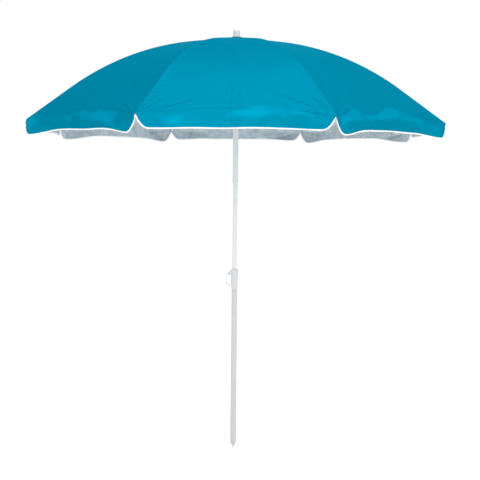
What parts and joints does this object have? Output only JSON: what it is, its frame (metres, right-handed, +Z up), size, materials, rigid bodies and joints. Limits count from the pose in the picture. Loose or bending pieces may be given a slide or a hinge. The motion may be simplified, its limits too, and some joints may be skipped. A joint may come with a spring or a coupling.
{
  "type": "beach umbrella",
  "caption": "Beach umbrella with a folding ribbed canopy, notched valance, telescopic white pole, lever clamp and ground spike.",
  "frame": {"origin": "tip of the ground spike, on the pole's axis", "axes": "+Z up along the pole; the clamp lever is on the -X side; the ribs stand 22.5 degrees and every 45 degrees on from +X"},
  "size_m": [1.5446, 1.5446, 1.6977],
  "materials": {
    "pole_enamel": "satin",
    "white_plastic": "satin",
    "dark_plastic": "matte",
    "bright_steel": "satin",
    "rib_steel": "satin",
    "canopy_cloth": "matte"
  },
  "bodies": {
    "lower_pole": {"ground_spike": "pole_enamel", "lower_tube": "pole_enamel", "clamp_collar": "white_plastic", "collar_rivet": "bright_steel", "lever_pin": "bright_steel"},
    "clamp_lever": {"lock_lever": "white_plastic"},
    "clamp_shoe": {"brake_shoe": "dark_plastic"},
    "upper_pole": {"upper_tube": "pole_enamel", "tube_end_bush": "dark_plastic", "crown": "white_plastic", "crown_wire": "bright_steel", "crown_rivet": "bright_steel", "finial": "white_plastic", "top_washer": "white_plastic", "runner_catch": "bright_steel"},
    "runner_sleeve": {"runner": "white_plastic", "runner_wire": "bright_steel"},
    "rib_arm_1": {"rib_1": "rib_steel", "rib_tip_1": "white_plastic", "rib_clip_1": "rib_steel", "canopy_1": "canopy_cloth"},
    "rib_arm_2": {"rib_2": "rib_steel", "rib_tip_2": "white_plastic", "rib_clip_2": "rib_steel", "canopy_2": "canopy_cloth"},
    "rib_arm_3": {"rib_3": "rib_steel", "rib_tip_3": "white_plastic", "rib_clip_3": "rib_steel", "canopy_3": "canopy_cloth"},
    "rib_arm_4": {"rib_4": "rib_steel", "rib_tip_4": "white_plastic", "rib_clip_4": "rib_steel", "canopy_4": "canopy_cloth"},
    "rib_arm_5": {"rib_5": "rib_steel", "rib_tip_5": "white_plastic", "rib_clip_5": "rib_steel", "canopy_5": "canopy_cloth"},
    "rib_arm_6": {"rib_6": "rib_steel", "rib_tip_6": "white_plastic", "rib_clip_6": "rib_steel", "canopy_6": "canopy_cloth"},
    "rib_arm_7": {"rib_7": "rib_steel", "rib_tip_7": "white_plastic", "rib_clip_7": "rib_steel", "canopy_7": "canopy_cloth"},
    "rib_arm_8": {"rib_8": "rib_steel", "rib_tip_8": "white_plastic", "rib_clip_8": "rib_steel", "canopy_8": "canopy_cloth"},
    "stretcher_arm_1": {"stretcher_1": "rib_steel"},
    "stretcher_arm_2": {"stretcher_2": "rib_steel"},
    "stretcher_arm_3": {"stretcher_3": "rib_steel"},
    "stretcher_arm_4": {"stretcher_4": "rib_steel"},
    "stretcher_arm_5": {"stretcher_5": "rib_steel"},
    "stretcher_arm_6": {"stretcher_6": "rib_steel"},
    "stretcher_arm_7": {"stretcher_7": "rib_steel"},
    "stretcher_arm_8": {"stretcher_8": "rib_steel"}
  },
  "joints": [
    {"name": "pole_height", "type": "slide", "parent": "lower_pole", "child": "upper_pole", "axis": [0, 0, 1], "range_m": [-0.14, 0.14]},
    {"name": "lever_flip", "type": "hinge", "parent": "lower_pole", "child": "clamp_lever", "pos_m": [-0.0285, 0, 0.71], "axis": [0, 1, 0], "range_deg": [0, 110]},
    {"name": "shoe_slide", "type": "slide", "parent": "lower_pole", "child": "clamp_shoe", "axis": [-1, 0, 0], "range_m": [0, 0.0012]},
    {"name": "runner_slide", "type": "slide", "parent": "upper_pole", "child": "runner_sleeve", "axis": [0, 0, -1], "range_m": [0, 0.42526], "deforming": ["canopy_1", "canopy_2", "canopy_3", "canopy_4", "canopy_5", "canopy_6", "canopy_7", "canopy_8", "runner_catch"]},
    {"name": "rib_fold_1", "type": "hinge", "parent": "upper_pole", "child": "rib_arm_1", "pos_m": [0.0231, 0.00957, 1.6575], "axis": [-0.3827, 0.9239, 0], "range_deg": [0, 63.5]},
    {"name": "rib_fold_2", "type": "hinge", "parent": "upper_pole", "child": "rib_arm_2", "pos_m": [0.00957, 0.0231, 1.6575], "axis": [-0.9239, 0.3827, 0], "range_deg": [0, 63.5]},
    {"name": "rib_fold_3", "type": "hinge", "parent": "upper_pole", "child": "rib_arm_3", "pos_m": [-0.00957, 0.0231, 1.6575], "axis": [-0.9239, -0.3827, 0], "range_deg": [0, 63.5]},
    {"name": "rib_fold_4", "type": "hinge", "parent": "upper_pole", "child": "rib_arm_4", "pos_m": [-0.0231, 0.00957, 1.6575], "axis": [-0.3827, -0.9239, 0], "range_deg": [0, 63.5]},
    {"name": "rib_fold_5", "type": "hinge", "parent": "upper_pole", "child": "rib_arm_5", "pos_m": [-0.0231, -0.00957, 1.6575], "axis": [0.3827, -0.9239, 0], "range_deg": [0, 63.5]},
    {"name": "rib_fold_6", "type": "hinge", "parent": "upper_pole", "child": "rib_arm_6", "pos_m": [-0.00957, -0.0231, 1.6575], "axis": [0.9239, -0.3827, 0], "range_deg": [0, 63.5]},
    {"name": "rib_fold_7", "type": "hinge", "parent": "upper_pole", "child": "rib_arm_7", "pos_m": [0.00957, -0.0231, 1.6575], "axis": [0.9239, 0.3827, 0], "range_deg": [0, 63.5]},
    {"name": "rib_fold_8", "type": "hinge", "parent": "upper_pole", "child": "rib_arm_8", "pos_m": [0.0231, -0.00957, 1.6575], "axis": [0.3827, 0.9239, 0], "range_deg": [0, 63.5]},
    {"name": "stretcher_fold_1", "type": "hinge", "parent": "runner_sleeve", "child": "stretcher_arm_1", "pos_m": [0.0231, 0.00957, 1.4], "axis": [-0.3827, 0.9239, 0], "range_deg": [-46.45, 0]},
    {"name": "stretcher_fold_2", "type": "hinge", "parent": "runner_sleeve", "child": "stretcher_arm_2", "pos_m": [0.00957, 0.0231, 1.4], "axis": [-0.9239, 0.3827, 0], "range_deg": [-46.45, 0]},
    {"name": "stretcher_fold_3", "type": "hinge", "parent": "runner_sleeve", "child": "stretcher_arm_3", "pos_m": [-0.00957, 0.0231, 1.4], "axis": [-0.9239, -0.3827, 0], "range_deg": [-46.45, 0]},
    {"name": "stretcher_fold_4", "type": "hinge", "parent": "runner_sleeve", "child": "stretcher_arm_4", "pos_m": [-0.0231, 0.00957, 1.4], "axis": [-0.3827, -0.9239, 0], "range_deg": [-46.45, 0]},
    {"name": "stretcher_fold_5", "type": "hinge", "parent": "runner_sleeve", "child": "stretcher_arm_5", "pos_m": [-0.0231, -0.00957, 1.4], "axis": [0.3827, -0.9239, 0], "range_deg": [-46.45, 0]},
    {"name": "stretcher_fold_6", "type": "hinge", "parent": "runner_sleeve", "child": "stretcher_arm_6", "pos_m": [-0.00957, -0.0231, 1.4], "axis": [0.9239, -0.3827, 0], "range_deg": [-46.45, 0]},
    {"name": "stretcher_fold_7", "type": "hinge", "parent": "runner_sleeve", "child": "stretcher_arm_7", "pos_m": [0.00957, -0.0231, 1.4], "axis": [0.9239, 0.3827, 0], "range_deg": [-46.45, 0]},
    {"name": "stretcher_fold_8", "type": "hinge", "parent": "runner_sleeve", "child": "stretcher_arm_8", "pos_m": [0.0231, -0.00957, 1.4], "axis": [0.3827, 0.9239, 0], "range_deg": [-46.45, 0]}
  ],
  "couplings": [
    {"joint": "shoe_slide", "follows": "lever_flip", "m_per_rad": 0.00062504},
    {"joint": "rib_fold_1", "follows": "runner_slide", "rad_per_m": 2.5856},
    {"joint": "rib_fold_2", "follows": "runner_slide", "rad_per_m": 2.5856},
    {"joint": "rib_fold_3", "follows": "runner_slide", "rad_per_m": 2.5856},
    {"joint": "rib_fold_4", "follows": "runner_slide", "rad_per_m": 2.5856},
    {"joint": "rib_fold_5", "follows": "runner_slide", "rad_per_m": 2.5856},
    {"joint": "rib_fold_6", "follows": "runner_slide", "rad_per_m": 2.5856},
    {"joint": "rib_fold_7", "follows": "runner_slide", "rad_per_m": 2.5856},
    {"joint": "rib_fold_8", "follows": "runner_slide", "rad_per_m": 2.5856},
    {"joint": "stretcher_fold_1", "follows": "runner_slide", "rad_per_m": -1.8859},
    {"joint": "stretcher_fold_2", "follows": "runner_slide", "rad_per_m": -1.8859},
    {"joint": "stretcher_fold_3", "follows": "runner_slide", "rad_per_m": -1.8859},
    {"joint": "stretcher_fold_4", "follows": "runner_slide", "rad_per_m": -1.8859},
    {"joint": "stretcher_fold_5", "follows": "runner_slide", "rad_per_m": -1.8859},
    {"joint": "stretcher_fold_6", "follows": "runner_slide", "rad_per_m": -1.8859},
    {"joint": "stretcher_fold_7", "follows": "runner_slide", "rad_per_m": -1.8859},
    {"joint": "stretcher_fold_8", "follows": "runner_slide", "rad_per_m": -1.8859}
  ]
}
